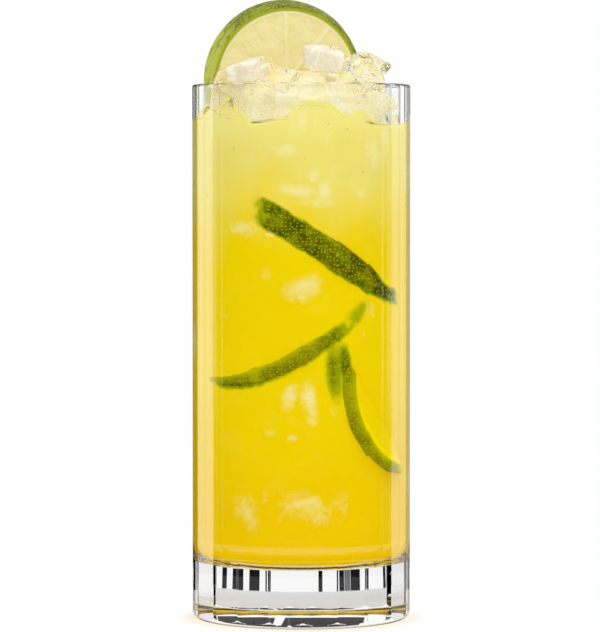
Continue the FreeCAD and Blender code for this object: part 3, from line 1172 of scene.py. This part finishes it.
# cards behind the glass that draw the bars in its base, for bent rays only: shade,
# middle across, width, lowest and highest edge, in millimetres
cards = [
    (0.01, 174.1, 2.1, -80, 0), (0.01, 178.6, 1.8, -80, 0), (0.01, 91.9, 2.2, -80, 0),
    (0.01, 97.3, 4.0, -80, 0), (0.01, 40.3, 0.7, -80, 0), (0.01, -45.3, 1.5, -80, 0),
    (0.01, -100.6, 1.9, -80, 0), (0.19, -98.4, 2.3, -80, 0), (0.01, -95.3, 3.7, -80, 0),
    (0.01, -173.0, 1.1, -80, 0), (0.01, -35.0, 150.6, 42, 125), (0.01, 115.0, 140.0, 42, 125),
]


def stand_cards():
    for number, (shade, place, width, low, high) in enumerate(cards, 1):
        material, mix = new_finish("card " + str(number))
        mix.finish(mix.node("BsdfDiffuse", {}, {"Color": (shade, shade, shade * 1.1)}))
        select_only()
        bpy.ops.mesh.primitive_plane_add(
            size=1, location=(place * MM, 0.33, (low + high) / 2 * MM),
            rotation=(math.pi / 2, 0, 0))
        card = bpy.context.object
        card.scale = (width * MM, (high - low) * MM, 1)
        bpy.ops.object.transform_apply(location=True, rotation=True, scale=True)
        card.name = "card_" + str(number)
        card.data.materials.append(material)
        for kind in ("camera", "diffuse", "glossy", "shadow"):
            setattr(card, "visible_" + kind, False)


class SMASH_OT_stage(bpy.types.Operator):
    """Camera, soft light and a pale floor"""
    bl_idname = "smash.stage"
    bl_label = "Stage"

    def execute(self, context):
        looks = context.scene.smash_stage
        scene = context.scene
        lens = bpy.data.cameras.new("camera")
        lens.lens = looks.focal
        lens.sensor_width = 36
        lens.shift_x = -0.0021
        lens.clip_start = 0.05
        camera = bpy.data.objects.new("camera", lens)
        scene.collection.objects.link(camera)
        camera.location = (0, -looks.camera_back, looks.camera_height)
        camera.rotation_euler = (math.pi / 2 - looks.camera_pitch, 0, 0)
        scene.camera = camera
        world_light(looks)
        softbox("top softbox", (0.10, -0.38, 0.75), (0, 0, 0.12), 0.5, 0.4, 1.6)
        select_only()
        bpy.ops.mesh.primitive_circle_add(vertices=96, radius=looks.floor_radius,
                                          fill_type="NGON", location=(0, 0, -0.02 * MM))
        floor = context.object
        bpy.ops.object.transform_apply(location=True)
        floor.name = "floor"
        floor.data.materials.append(floor_finish())
        stand_cards()
        scene.view_settings.view_transform = "Standard"
        scene.cycles.max_bounces = 24
        scene.cycles.transmission_bounces = 24
        scene.cycles.transparent_max_bounces = 24
        return {"FINISHED"}


# ------------------------------------------------------------ panel and start
class SMASH_PT_panel(bpy.types.Panel):
    """Lists the makers of the drink's pieces"""
    bl_idname = "SMASH_PT_panel"
    bl_label = "Gin smash"
    bl_space_type = "VIEW_3D"
    bl_region_type = "UI"
    bl_category = "Gin smash"

    def draw(self, context):
        for maker in makers:
            self.layout.operator(maker.bl_idname)


groups = {
    "smash_tumbler": TumblerSizes,
    "smash_drink": DrinkLooks,
    "smash_ice": IceLooks,
    "smash_lime": LimeLooks,
    "smash_stage": StageLooks,
}
makers = [
    SMASH_OT_stage,
    SMASH_OT_tumbler,
    SMASH_OT_drink,
    SMASH_OT_cloud,
    SMASH_OT_bubbles,
    SMASH_OT_sunk_lime,
    SMASH_OT_ice,
    SMASH_OT_lime,
]


def register():
    for name, group in groups.items():
        bpy.utils.register_class(group)
        setattr(bpy.types.Scene, name, bpy.props.PointerProperty(type=group))
    for maker in makers:
        bpy.utils.register_class(maker)
    bpy.utils.register_class(SMASH_PT_panel)


def unregister():
    bpy.utils.unregister_class(SMASH_PT_panel)
    for maker in reversed(makers):
        bpy.utils.unregister_class(maker)
    for name, group in groups.items():
        delattr(bpy.types.Scene, name)
        bpy.utils.unregister_class(group)


def main():
    register()
    for maker in makers:
        name = maker.bl_idname.split(".")[1]
        getattr(bpy.ops.smash, name)()


if __name__ == "__main__":
    main()
